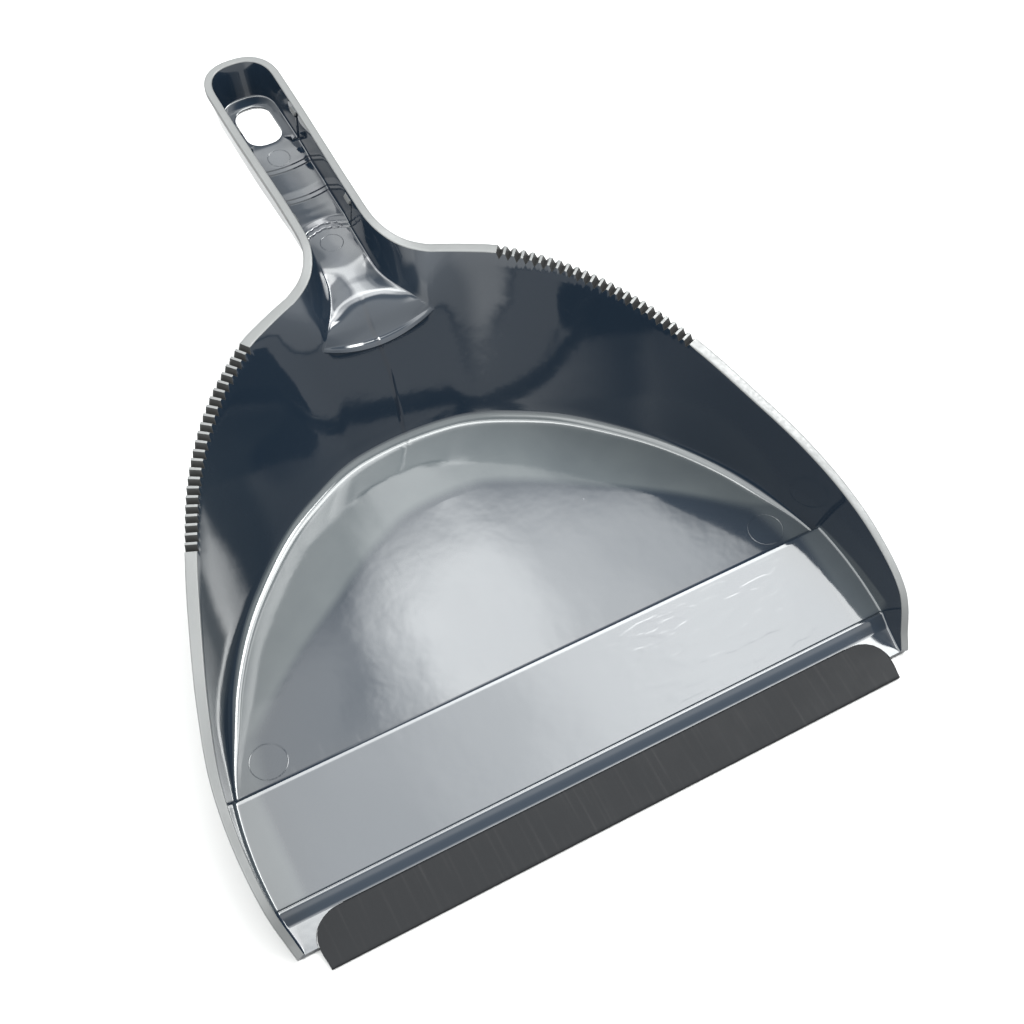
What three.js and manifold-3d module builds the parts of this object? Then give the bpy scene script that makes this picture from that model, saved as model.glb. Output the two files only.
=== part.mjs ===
// Dust pan with a comb edge and a rubber front lip.
// Millimetres. +Z is up, +Y runs from the front lip to the handle, x = 0 is the mirror plane.
// The origin lies on the ground under the middle of the crest, where the ramp meets the bin.
// The pan is one moulding, so it is one mesh. The rubber lip is the second piece.

import * as THREE from "three";
import { mergeVertices } from "three/addons/utils/BufferGeometryUtils.js";
import Module from "manifold-3d";

// Driving dimensions
const WALL = 2.0; // wall of the bin and of the handle channel
const HEM_PAN = 2.0; // wall thickness at the foot of the bin wall
const HEM_HANDLE = 1.4; // wall thickness at the foot of the handle wall
const BACK_CENTRE_Y = 100.9; // inside back end of the bin floor
const FLOOR_TOP = 3.4; // upper face of the bin floor above the ground
const FLOOR_SKIN = 2.2; // thickness of the bin floor and of the handle floor
const FLANGE_PAN = 3.7; // width of the flat rim round the bin
const FLANGE_HANDLE = 2.8; // width of the flat rim round the handle
const FLANGE_TIP = 2.6; // width of the flat rim at the front tips
const FLANGE_SKIN = 2.0; // thickness of the rim
const CREST_Z = 7.7; // top of the ridge between ramp and bin
const RAMP_FRONT = { y: -34, z: 3.6 };
const PLATE_FRONT = { y: -47.9, z: 1.9 };
const COMB = { teeth: 24, pitch: 3.02, depth: 1.9, startY: 117.3 };
const HANDLE_END = { rimX: 10.95, rimY: 226, rimLong: 12.4, footX: 10.3, footY: 223, footLong: 10.6 };
const HANDLE_RIM_Z = 60.5;
const HANDLE_FLOOR_Z = 48.2;
const HANDLE_SLOPE = 0.028; // the handle rises this much per mm towards the bin
const HOLE = { y: 217.5, width: 13, length: 20.5, corner: 5.6 };
const LIP = { backY: -39.4, frontY: -55, halfWidth: 97.8, straightHalf: 86, gap: 0.3 };
const RING = { inset: 3, width: 2.4 }; // raised ring the pan stands on
const HALF_WIDTH_AT_CREST = 104; // inside the bin, at floor level
const PIN_MARK = { x: 89.7, y: 9.9, radius: 5.9, depth: 0.2 };

// Stations along one half of the rim, from the handle to the front tip.
// rim is the inner edge of the flat rim, foot is where the inner wall face meets the floor below it.
const HANDLE_STATIONS = [
  { rim: [10.95, 226, 60.5], foot: [10.3, 223, 48.3] },
  { rim: [10.4, 185, 61.5], foot: [9.7, 185, 49.4] },
  { rim: [10.0, 162, 62.1], foot: [8.9, 160, 50.2] },
  { rim: [10.4, 145.5, 61.9], foot: [8.4, 143, 49.2] },
  { rim: [12.4, 138.7, 61.0], foot: [8.9, 136.8, 47.8] },
  { rim: [15.0, 134.2, 60.0], foot: [10.0, 132.8, 47.1] },
  { rim: [18.0, 131.0, 59.2], foot: [12.1, 128.0, 46.5] },
  { rim: [21.5, 128.5, 58.5], foot: [15.6, 122.0, 45.8] },
  { rim: [24.0, 127.1, 58.1], foot: [18.4, 118.2, 43.4] },
  { rim: [26.2, 126.2, 58.0], foot: [18.8, 110.5, 28.0] },
  { rim: [30.0, 124.5, 57.7], foot: [19.0, 99.2, 3.4] },
];
const BIN_STATIONS = [
  { rim: [30.0, 124.5, 57.7], foot: [19.0, 99.2, 3.4] },
  { rim: [36.6, 121.2, 57.5], foot: [27.4, 96.6, 3.4] },
  { rim: [43.3, 117.3, 57.3], foot: [35.0, 93.1, 3.4] },
  { rim: [60.2, 102.1, 55.4], foot: [51.5, 83.4, 3.4] },
  { rim: [74.4, 82.9, 52.0], foot: [67.5, 69.0, 3.4] },
  { rim: [85.0, 60.2, 48.1], foot: [79.8, 54.8, 3.4] },
  { rim: [94.1, 35.7, 42.2], foot: [91.9, 35.2, 3.4] },
  { rim: [100.5, 16.4, 37.4], foot: [99.4, 16.3, 3.4] },
  { rim: [105.2, -1.2, 31.7], foot: [104.0, -1.2, 3.4] },
  { rim: [107.1, -18.8, 26.4], foot: [105.9, -19.0, 2.9] },
  { rim: [106.6, -36.2, 18.9], foot: [105.4, -36.0, 2.3] },
  { rim: [104.3, -45.0, 6.5], foot: [103.8, -45.0, 1.9] },
  { rim: [103.4, -47.6, 2.4], foot: [103.3, -47.6, 1.7] },
];
// Half of the spout where the handle floor pours into the bin: middle line and side edge.
const SPOUT_STATIONS = [
  { middle: [0, 152, 50.3], edge: [8.5, 152, 50.3] },
  { middle: [0, 143, 49.2], edge: [8.4, 143, 49.2] },
  { middle: [0, 136.8, 47.8], edge: [8.9, 136.8, 47.8] },
  { middle: [0, 132, 47.0], edge: [10.0, 132.8, 47.1] },
  { middle: [0, 127, 46.2], edge: [12.1, 128, 46.5] },
  { middle: [0, 124, 44.4], edge: [15.6, 122, 45.8] },
  { middle: [0, 120, 40.2], edge: [18.4, 118.6, 44.2] },
  { middle: [0, 115.5, 35.4], edge: [20.3, 116.6, 41.6] },
];

const wasm = await Module();
wasm.setup();

// A closed three.js geometry as a manifold-3d solid.
function solid(geometry) {
  const bare = geometry.clone();
  bare.deleteAttribute("normal");
  bare.deleteAttribute("uv");
  const merged = mergeVertices(bare, 1e-4);
  return new wasm.Manifold(
    new wasm.Mesh({
      numProp: 3,
      vertProperties: new Float32Array(merged.attributes.position.array),
      triVerts: new Uint32Array(merged.index.array),
    }),
  );
}

// A manifold-3d solid as a three.js geometry.
function geometryOf(body) {
  const mesh = body.getMesh();
  const geometry = new THREE.BufferGeometry();
  geometry.setAttribute("position", new THREE.BufferAttribute(new Float32Array(mesh.vertProperties), 3));
  geometry.setIndex(new THREE.BufferAttribute(new Uint32Array(mesh.triVerts), 1));
  geometry.computeVertexNormals();
  return geometry;
}

// A box with segments along its length and width, each point moved by place(i, j, k).
// i counts the length segments, j the width segments, k is 0 or 1 through the thickness.
function bentBox(lengthSteps, widthSteps, place) {
  const box = new THREE.BoxGeometry(lengthSteps, widthSteps, 1, lengthSteps, widthSteps, 1);
  const points = box.attributes.position;
  for (let n = 0; n < points.count; n += 1) {
    const i = Math.round(points.getX(n) + lengthSteps / 2);
    const j = Math.round(points.getY(n) + widthSteps / 2);
    const k = Math.round(points.getZ(n) + 0.5);
    const p = place(i, j, k);
    points.setXYZ(n, p.x, p.y, p.z);
  }
  return box;
}

const vector = (p) => new THREE.Vector3(p[0], p[1], p[2]);
const mirrored = (p) => new THREE.Vector3(-p.x, p.y, p.z);

// A smooth curve through one named point of each station.
function curveThrough(stations, name) {
  return new THREE.CatmullRomCurve3(stations.map((s) => vector(s[name])), false, "centripetal");
}

// Matching rim and foot points, with the same number of steps between every two stations.
function sampleStations(stations, stepsPerSpan) {
  const rim = curveThrough(stations, "rim");
  const foot = curveThrough(stations, "foot");
  const steps = (stations.length - 1) * stepsPerSpan;
  const list = [];
  for (let i = 0; i <= steps; i += 1) {
    list.push({ rim: rim.getPoint(i / steps), foot: foot.getPoint(i / steps) });
  }
  return list;
}

// The rounded end of the handle: a flattened quarter circle from the middle to the straight side.
function handleEnd(steps) {
  const list = [];
  const roundness = 2 / 2.5;
  for (let i = 0; i < steps; i += 1) {
    const angle = (Math.PI / 2) * (1 - i / steps);
    const across = Math.cos(angle) ** roundness;
    const along = Math.sin(angle) ** roundness;
    const e = HANDLE_END;
    list.push({
      rim: new THREE.Vector3(e.rimX * across, e.rimY + e.rimLong * along, HANDLE_RIM_Z),
      foot: new THREE.Vector3(e.footX * across, e.footY + e.footLong * along, HANDLE_FLOOR_Z),
    });
  }
  return list;
}

// All stations of one half, from the middle of the handle end to the front tip.
const handleHalf = [...handleEnd(7), ...sampleStations(HANDLE_STATIONS, 3)];
const binHalf = sampleStations(BIN_STATIONS, 3);
const half = [...handleHalf, ...binHalf.slice(1)];

// Adds the outward direction, the rim width and the lower edge of the wall to each station.
half.forEach((station, i) => {
  const before = half[Math.max(i - 1, 0)].rim;
  const after = half[Math.min(i + 1, half.length - 1)].rim;
  const along = new THREE.Vector3().subVectors(after, before);
  station.out = i === 0 ? new THREE.Vector3(0, 1, 0) : new THREE.Vector3(-along.y, along.x, 0).normalize();
  const handlePart = THREE.MathUtils.smoothstep(station.rim.y, 120, 145);
  const tipPart = 1 - THREE.MathUtils.smoothstep(station.rim.y, -45, 50);
  station.hemOut = HEM_PAN + handlePart * (HEM_HANDLE - HEM_PAN);
  station.flange = FLANGE_PAN + handlePart * (FLANGE_HANDLE - FLANGE_PAN) + tipPart * (FLANGE_TIP - FLANGE_PAN);
  const drop = station.foot.y < 0 ? 1.2 : FLOOR_SKIN;
  const height = station.rim.z - station.foot.z;
  const stretch = Math.min(drop / Math.max(height, drop), 0.35);
  station.hem = station.foot.clone().addScaledVector(new THREE.Vector3().subVectors(station.foot, station.rim), stretch);
  station.hem.z = station.foot.z - drop;
});

// The whole outline, from the left tip round the handle end to the right tip.
const mirrorStation = (s) => ({
  rim: mirrored(s.rim),
  foot: mirrored(s.foot),
  hem: mirrored(s.hem),
  out: mirrored(s.out),
  hemOut: s.hemOut,
  flange: s.flange,
});
const outline = [...half.slice(1).reverse().map(mirrorStation), ...half];

// The outline of the bin floor and the ramp, with the shallow arc at the back below the spout.
const backArcY = (x) => BACK_CENTRE_Y - 1.7 * (x / 19) ** 2;
const backArc = [-12, -6, 0, 6, 12].map((x) => ({
  foot: new THREE.Vector3(x, backArcY(x), FLOOR_TOP),
  out: new THREE.Vector3(0.009 * x, 1, 0).normalize(),
}));
const rightFloor = half.slice(handleHalf.length - 1);
const floorOutline = [...rightFloor.slice().reverse().map(mirrorStation), ...backArc, ...rightFloor];

// The wall between floor and rim.
function wallSolid() {
  return solid(
    bentBox(outline.length - 1, 1, (i, j, k) => {
      const s = outline[i];
      const p = j === 0 ? s.hem.clone() : s.rim.clone();
      if (j === 1) p.z -= 0.6;
      return p.addScaledVector(s.out, (1 - k) * (j === 0 ? s.hemOut : WALL));
    }),
  );
}

// The flat rim that stands out all round the top of the wall.
function flangeSolid() {
  return solid(
    bentBox(outline.length - 1, 1, (i, j, k) => {
      const s = outline[i];
      const p = s.rim.clone().addScaledVector(s.out, (1 - k) * s.flange);
      p.z -= j === 0 ? FLANGE_SKIN : 0;
      if (j === 0) p.z = Math.max(p.z, 0.3);
      return p;
    }),
  );
}

// The inside outline seen from above, grown outwards by a margin, as a prism between two heights.
function planPrism(stations, margin, low, high) {
  const points = stations.map((s) => new THREE.Vector2(s.foot.x + s.out.x * margin, s.foot.y + s.out.y * margin));
  const shape = new THREE.Shape(points);
  const prism = new THREE.ExtrudeGeometry(shape, { depth: high - low, bevelEnabled: false });
  return solid(prism.translate(0, 0, low));
}

// A side profile of [y, z] points, extruded straight across the pan.
function acrossPrism(profile, halfWidth) {
  const shape = new THREE.Shape(profile.map(([y, z]) => new THREE.Vector2(y, z)));
  const prism = new THREE.ExtrudeGeometry(shape, { depth: 2 * halfWidth, bevelEnabled: false });
  const turn = new THREE.Matrix4().makeBasis(
    new THREE.Vector3(0, 1, 0),
    new THREE.Vector3(0, 0, 1),
    new THREE.Vector3(1, 0, 0),
  );
  return solid(prism.applyMatrix4(turn).translate(-halfWidth, 0, 0));
}

function roundedRectangle(width, length, corner) {
  const x = width / 2;
  const y = length / 2;
  const shape = new THREE.Shape();
  shape.moveTo(x, -y + corner);
  shape.lineTo(x, y - corner);
  shape.absarc(x - corner, y - corner, corner, 0, Math.PI / 2);
  shape.absarc(-x + corner, y - corner, corner, Math.PI / 2, Math.PI);
  shape.absarc(-x + corner, -y + corner, corner, Math.PI, 1.5 * Math.PI);
  shape.absarc(x - corner, -y + corner, corner, 1.5 * Math.PI, 2 * Math.PI);
  return shape;
}

// Bin floor, crest, ramp and front plate: one side profile, trimmed to the inside outline.
function basePlate() {
  const profile = [
    [112, FLOOR_TOP - FLOOR_SKIN],
    [112, FLOOR_TOP],
    [2.6, FLOOR_TOP],
    [0.5, CREST_Z],
    [-0.4, CREST_Z],
    [RAMP_FRONT.y, RAMP_FRONT.z],
    [RAMP_FRONT.y - 0.5, RAMP_FRONT.z - 0.5],
    [-38, 2.5],
    [PLATE_FRONT.y, PLATE_FRONT.z],
    [PLATE_FRONT.y, 0.5],
    [-38, 0.6],
    [RAMP_FRONT.y, RAMP_FRONT.z - 2.1],
    [-1.6, CREST_Z - 2.3],
    [1.0, FLOOR_TOP - FLOOR_SKIN],
  ].reverse();
  return acrossPrism(profile, 120).intersect(planPrism(floorOutline, 1.0, -5, 20));
}

// The bin's back wall below the spout, between the two shoulders.
function backPanel() {
  const steps = 12;
  const halfWidth = 20;
  const topZ = 45.6;
  const lean = 0.455;
  return solid(
    bentBox(steps, 1, (i, j, k) => {
      const x = THREE.MathUtils.lerp(-halfWidth, halfWidth, i / steps);
      const z = j === 0 ? FLOOR_TOP - FLOOR_SKIN : topZ;
      return new THREE.Vector3(x, backArcY(x) + (z - FLOOR_TOP) * lean + (1 - k) * WALL, z);
    }),
  );
}

// Height of the handle floor at a point along the handle, without its finger steps.
const handleFloorZ = (y) => HANDLE_FLOOR_Z + (233 - y) * HANDLE_SLOPE;

// The handle floor with three shallow finger steps, trimmed to the channel.
function handleFloor() {
  const steps = [[240, 0]];
  [194, 177.5, 161].forEach((y) => {
    steps.push([y + 11, 0], [y + 5, -0.6], [y + 1.2, -1.2], [y - 0.4, 0.1]);
  });
  steps.push([150, 0]);
  const top = steps.map(([y, lift]) => [y, handleFloorZ(y) + lift]);
  const bottom = top.map(([y, z]) => [y, z - FLOOR_SKIN]).reverse();
  const channel = outline.filter((s) => s.foot.y > 120);
  return acrossPrism([...top, ...bottom], 20).intersect(planPrism(channel, 1.0, 30, 60));
}

// The scoop-shaped mouth of the handle floor, bending down onto the back wall.
function spoutSolid() {
  const middle = curveThrough(SPOUT_STATIONS, "middle");
  const edge = curveThrough(SPOUT_STATIONS, "edge");
  const lengthSteps = 14;
  const widthSteps = 8;
  return solid(
    bentBox(lengthSteps, widthSteps, (i, j, k) => {
      const m = middle.getPoint(i / lengthSteps);
      const e = edge.getPoint(i / lengthSteps);
      const across = (2 * j) / widthSteps - 1;
      const bow = across * across;
      const x = across * (e.x + 1.0);
      const y = THREE.MathUtils.lerp(m.y, e.y, bow);
      const z = THREE.MathUtils.lerp(m.z, e.z, bow);
      const back = THREE.MathUtils.smoothstep(-y, -127, -117) * 1.6;
      return new THREE.Vector3(x, y + (1 - k) * back, z - (1 - k) * FLOOR_SKIN);
    }),
  );
}

// A raised ring under the bin floor that the pan stands on, closed by a straight bar under the crest.
function standingRing() {
  const bin = floorOutline.filter((s) => s.foot.y > -12);
  const top = FLOOR_TOP - FLOOR_SKIN + 0.4;
  const ring = planPrism(bin, -RING.inset, 0, top).subtract(planPrism(bin, -RING.inset - RING.width, -1, top + 1));
  const behind = solid(new THREE.BoxGeometry(240, 120, 20).translate(0, 60 - RING.width / 2, 0));
  const barWidth = 2 * (HALF_WIDTH_AT_CREST - RING.inset) - 2;
  const bar = new THREE.BoxGeometry(barWidth, RING.width, top).translate(0, 0, top / 2);
  return ring.intersect(behind).add(solid(bar));
}

// Points of the comb: one V groove every pitch along the rim, measured on the rim's inner edge.
function combGrooves() {
  const curve = curveThrough(BIN_STATIONS, "rim");
  const fine = curve.getPoints(1200);
  const cuts = [];
  let travelled = 0;
  let next = COMB.pitch / 2;
  for (let i = 1; i < fine.length && cuts.length < COMB.teeth; i += 1) {
    if (fine[i].y > COMB.startY) continue;
    travelled += fine[i].distanceTo(fine[i - 1]);
    if (travelled < next) continue;
    next += COMB.pitch;
    const along = new THREE.Vector3().subVectors(fine[i], fine[i - 1]).normalize();
    const out = new THREE.Vector3(-along.y, along.x, 0).normalize();
    cuts.push(grooveGeometry(fine[i], along, out));
  }
  return cuts;
}

// A V-shaped wedge that crosses the rim at one point.
function grooveGeometry(point, along, out) {
  const rise = 1.2;
  const halfWidth = (COMB.pitch / 2 - 0.06) * (1 + rise / COMB.depth);
  const shape = new THREE.Shape([
    new THREE.Vector2(0, -COMB.depth),
    new THREE.Vector2(halfWidth, rise),
    new THREE.Vector2(-halfWidth, rise),
  ]);
  const wedge = new THREE.ExtrudeGeometry(shape, { depth: FLANGE_PAN + 4, bevelEnabled: false });
  wedge.translate(0, 0, -2);
  const up = new THREE.Vector3().crossVectors(out, along).normalize();
  if (up.z < 0) up.negate();
  const side = new THREE.Vector3().crossVectors(up, out).normalize();
  wedge.applyMatrix4(new THREE.Matrix4().makeBasis(side, up, out));
  return wedge.translate(point.x, point.y, point.z);
}

// Clips inside the channel that hold a brush handle, each over a moulding slot in the floor.
const CLIPS = [
  { y: 207.5, wallX: 10.7 },
  { y: 160.5, wallX: 9.6 },
];

function clipGeometry(clip, side) {
  const topZ = handleFloorZ(clip.y) + 10.6;
  const wedge = new THREE.Shape([
    new THREE.Vector2(-0.7, 0),
    new THREE.Vector2(1.1, -1.4),
    new THREE.Vector2(1.1, -2.2),
    new THREE.Vector2(-0.7, -3.4),
  ]);
  const body = new THREE.ExtrudeGeometry(wedge, { depth: 4.5, bevelEnabled: false });
  const turn = new THREE.Matrix4().makeBasis(
    new THREE.Vector3(-side, 0, 0),
    new THREE.Vector3(0, 0, 1),
    new THREE.Vector3(0, side, 0),
  );
  body.applyMatrix4(turn);
  return body.translate(side * clip.wallX, clip.y - side * 2.25, topZ);
}

function clipSlotGeometry(clip, side) {
  const slot = new THREE.BoxGeometry(2.6, 5.0, 8);
  return slot.translate(side * (clip.wallX - 2.2), clip.y, handleFloorZ(clip.y) - 1.5);
}

// Shallow round marks left by the ejector pins.
function pinMark(x, y, z, radius) {
  const disc = new THREE.CylinderGeometry(radius, radius, 1, 24);
  return disc.rotateX(Math.PI / 2).translate(x, y, z + 0.5 - PIN_MARK.depth);
}

// The rubber lip's outline from above: straight back edge, rounded back corners, straight front edge.
function lipOutline(margin) {
  const corner = 13;
  const x = LIP.halfWidth + margin;
  const back = LIP.backY + margin;
  const front = LIP.frontY - margin;
  const shape = new THREE.Shape();
  shape.moveTo(-x + 0.6, front);
  shape.lineTo(x - 0.6, front);
  shape.lineTo(x, back - corner * 0.8);
  shape.bezierCurveTo(x, back - 4, x - 5, back, LIP.straightHalf, back);
  shape.lineTo(-LIP.straightHalf, back);
  shape.bezierCurveTo(-x + 5, back, -x, back - 4, -x, back - corner * 0.8);
  return shape;
}

// The rubber lip lies in a shallow seat on the front plate and reaches down to the ground past it.
function lipSolid(margin) {
  const plan = new THREE.ExtrudeGeometry(lipOutline(margin), { depth: 14, bevelEnabled: false, curveSegments: 8 });
  const profile = [
    [LIP.backY + margin, 1.75 - margin],
    [LIP.backY + margin, 3.1 + margin],
    [-48.5, 2.3 + margin],
    [LIP.frontY - margin, 1.4 + margin],
    [LIP.frontY - margin, -margin],
    [PLATE_FRONT.y - LIP.gap + margin, -margin],
    [PLATE_FRONT.y - LIP.gap + margin, 1.45 - margin],
  ];
  return acrossPrism(profile, 110).intersect(solid(plan.translate(0, 0, -3)));
}

// Cuts one after another.
const cutAll = (body, cutters) => cutters.reduce((left, cutter) => left.subtract(cutter), body);

function panBody() {
  let body = wallSolid()
    .add(flangeSolid())
    .add(basePlate())
    .add(backPanel())
    .add(handleFloor())
    .add(spoutSolid())
    .add(standingRing());
  const mirror = new THREE.Matrix4().makeScale(-1, 1, 1);
  const wedges = combGrooves();
  const cutters = [];
  wedges.forEach((wedge) => {
    const right = solid(wedge);
    cutters.push(right, right.transform(mirror.toArray()));
  });
  const hole = new THREE.ExtrudeGeometry(roundedRectangle(HOLE.width, HOLE.length, HOLE.corner), {
    depth: 12,
    bevelEnabled: false,
    curveSegments: 6,
  });
  cutters.push(solid(hole.translate(0, HOLE.y, HANDLE_FLOOR_Z - 7)));
  [-1, 1].forEach((side) => {
    cutters.push(solid(pinMark(side * PIN_MARK.x, PIN_MARK.y, FLOOR_TOP, PIN_MARK.radius)));
    CLIPS.forEach((clip) => {
      body = body.add(solid(clipGeometry(clip, side)));
      cutters.push(solid(clipSlotGeometry(clip, side)));
    });
  });
  cutters.push(lipSolid(LIP.gap));
  return cutAll(body, cutters);
}

const plastic = new THREE.MeshStandardMaterial({ color: 0x454c54, roughness: 0.16, metalness: 0 });
const rubber = new THREE.MeshStandardMaterial({ color: 0x35363a, roughness: 0.72, metalness: 0 });

function named(name, body, material) {
  const mesh = new THREE.Mesh(geometryOf(body), material);
  mesh.name = name;
  return mesh;
}

const pan = new THREE.Group();
pan.add(named("pan_body", panBody(), plastic));
pan.add(named("rubber_lip", lipSolid(0), rubber));

export default pan;
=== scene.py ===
"""Looks of the dust pan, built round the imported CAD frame. The pan is made as columns of points, cut
through its wall at a right angle to the rim, that are joined into grids. Only the right half is drawn:
the left half mirrors it. Lengths are millimetres until a mesh is made, and metres in the materials,
the light and the camera."""

import math

import bmesh
import bpy
import numpy as np
from mathutils import Matrix, Vector
from mathutils.geometry import delaunay_2d_cdt


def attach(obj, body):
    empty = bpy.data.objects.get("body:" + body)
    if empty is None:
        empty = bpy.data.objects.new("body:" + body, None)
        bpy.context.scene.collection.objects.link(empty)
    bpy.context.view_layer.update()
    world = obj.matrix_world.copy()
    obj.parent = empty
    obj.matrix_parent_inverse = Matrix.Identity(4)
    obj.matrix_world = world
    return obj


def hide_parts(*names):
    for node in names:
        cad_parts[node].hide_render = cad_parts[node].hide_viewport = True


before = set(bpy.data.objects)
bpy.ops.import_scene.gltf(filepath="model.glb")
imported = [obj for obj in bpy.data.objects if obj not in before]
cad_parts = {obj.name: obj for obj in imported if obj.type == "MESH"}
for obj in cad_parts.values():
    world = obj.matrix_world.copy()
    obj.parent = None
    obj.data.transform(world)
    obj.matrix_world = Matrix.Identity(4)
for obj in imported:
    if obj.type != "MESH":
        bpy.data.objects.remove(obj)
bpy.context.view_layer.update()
MM = 0.001

# ---- driving dimensions

WALL = 2.0
FLOOR_TOP = 3.4
FLOOR_SKIN = 2.2  # thickness of the floor
FLANGE_PAN = 3.7  # width of the flat rim round the bin, on the handle and at the front tips
FLANGE_HANDLE = 2.8
FLANGE_TIP = 2.4
FLANGE_SKIN = 2.0
HEM_HANDLE = 1.4
CREST_Z = 7.7
COMB_TEETH = 24
COMB_PITCH = 3.02
COMB_DEPTH = 1.9
COMB_RIDGE = 0.8  # flat width along the top of each comb tooth
COMB_START_Y = 117.3
STEP_YS = (194.0, 177.5, 157.8)  # the three finger steps in the channel
STEP_DROP = 0.8
STEP_LENGTH = 13.8
FLOOR_DOME = 1.6  # the bin floor is slightly domed: it falls this much towards the back wall
PANEL_HALF = 19.0  # the back wall under the spout: half width at the floor, and bow towards the handle
PANEL_BOW = 1.7
BACK_CENTRE_Y = 100.9
LIP_BACK_Y = -39.4
LIP_DEPTH = 15.6
LIP_HALF = 97.8
SEAT_BACK_Y = -39.15  # the recess that holds the lip: back edge, floor, and gap round the lip
SEAT_Z = 1.4
SEAT_GAP = 0.28
FLOOR_MARK = (89.7, 9.9, 5.9)  # round ejector mark on the bin floor: x, y, radius
CHANNEL_MARK_YS = (198.9, 153.4)  # round ejector marks in the channel
CHANNEL_MARK_RADIUS = 3.9
HOLE_Y, HOLE_HALF_X, HOLE_HALF_Y, HOLE_CORNER = 217.6, 6.5, 10.3, 5.6
HOLE_ROUND = 0.5  # radius of the hole's edges
RING_OUTER, RING_INNER = 3.0, 5.4  # the standing ring's edges, measured inwards from the foot of the wall
# Clip wedges: first y, x of the channel wall there, and z of the wedge's top.
CLIP_WEDGES = ((205.2, 10.75, 60.4), (157.4, 9.9, 60.6))
WEDGE_OUTLINE = ((0.7, 0.1), (-0.25, -0.2), (-0.95, -1.2), (-1.05, -1.7), (-0.8, -2.2), (0.7, -3.3))
WEDGE_ALONG = ((0, 0.15), (0.3, 0.9), (1, 1.0), (3.6, 1.0), (4.2, 0.9), (4.6, 0.15))  # y and size
# Slits beside the clips: first y, x of the wall, inner x of the L, z of the floor, length of the L's leg.
CLIP_SLITS = ((204.9, 10.1, 7.5, 48.7, 2.3), (156.6, 8.9, 6.0, 50.3, 2.6))
SLIT_WIDTH = 0.5
SLIT_TOP_Z = 59.3
LEG_WIDTH = 0.4
ROWS_LOW = 12  # wall rows between the floor and the level of the spout's lip
ROWS_HIGH = 8  # wall rows from there up to the rim
ACROSS = 14  # columns across half of the spout
END_COLUMNS = 16  # columns round half of the handle's end
BIN_RIM_START = 9 + ROWS_LOW + ROWS_HIGH - 2  # where the rim's points start in a bin column
HANDLE_RIM_START = 5 + ROWS_HIGH - 2
RIM_STRIPS = 12
BEAD_REACH = 4  # how far from the spout's lip its bead can reach
BORDER_STEPS = (1.0, 0.86, 0.72, 0.58, 0.45, 0.33, 0.22, 0.12, 0.05, 0.0)  # across the floor's border

# Stations along the right half: rim is the inner edge of the flat rim, foot the bottom of the inner
# wall face, mid the point of the channel floor on the mirror plane beside that foot.
HANDLE_STATIONS = [
    ((10.95, 226, 60.5), (10.3, 223, 48.3), (0, 223, 48.3)),
    ((10.8, 204, 60.9), (10.2, 204, 48.9), (0, 204, 48.9)),
    ((10.4, 185, 61.5), (9.7, 185, 49.5), (0, 185, 49.5)),
    ((10.0, 162, 62.09), (8.9, 160, 50.2), (0, 160, 50.2)),
    ((10.4, 145.5, 61.9), (8.4, 143, 49.2), (0, 143, 49.2)),
    ((12.4, 138.7, 61.0), (8.9, 136.8, 47.8), (0, 136.8, 48.4)),
    ((15.0, 134.2, 60.0), (10.0, 132.8, 47.1), (0, 132, 47.9)),
    ((18.0, 131.0, 59.2), (12.1, 128.0, 46.5), (0, 127, 46.7)),
    ((21.5, 128.5, 58.5), (15.6, 122.0, 45.6), (0, 123.0, 43.5)),
    ((24.0, 127.1, 58.1), (18.4, 118.2, 43.5), (0, 119.0, 38.9)),
    ((26.2, 126.1, 58.0), (20.3, 116.6, 41.6), (0, 115.5, 35.4)),
]
LIP_END = (20.3, 116.6, 41.6)
LIP_MIDDLE = (0, 115.5, 35.4)
# Here the middle column is the knee: the height where the wall starts to lean out towards the rim.
BIN_STATIONS = [
    ((26.2, 126.1, 58.0), (20.3, 116.6, 41.6), (19.0, 99.2, 3.4)),
    ((30.0, 124.5, 57.7), (26.6, 116.4, 42.3), (22.6, 98.25, 3.4)),
    ((36.6, 121.2, 57.5), (33.8, 113.8, 41.3), (27.4, 96.6, 3.4)),
    ((43.3, 117.3, 57.3), (40.8, 110.1, 41.2), (35.0, 93.1, 3.4)),
    ((60.2, 102.1, 55.4), (57.6, 96.5, 39.8), (51.5, 83.4, 3.4)),
    ((74.4, 82.9, 52.0), (72.3, 78.8, 37.5), (67.5, 69.0, 3.4)),
    ((85.0, 60.2, 48.1), (83.5, 58.6, 34.9), (79.8, 54.8, 3.4)),
    ((94.1, 35.7, 42.2), (93.5, 35.6, 30.8), (91.9, 35.2, 3.4)),
    ((100.5, 16.4, 37.4), (100.2, 16.4, 27.3), (99.4, 16.3, 3.4)),
    ((105.2, -1.2, 31.7), (104.9, -1.2, 23.3), (104.0, -1.2, 3.4)),
    ((107.1, -18.8, 26.4), (106.8, -18.8, 19.4), (105.9, -19.0, 2.9)),
    ((106.6, -36.2, 18.9), (106.3, -36.2, 13.9), (105.4, -36.0, 2.3)),
    ((104.3, -45.0, 6.5), (104.2, -45.0, 5.1), (103.8, -45.0, 1.9)),
    ((103.4, -47.9, 2.9), (103.38, -47.9, 2.5), (103.3, -47.9, 1.7)),
]
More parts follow.
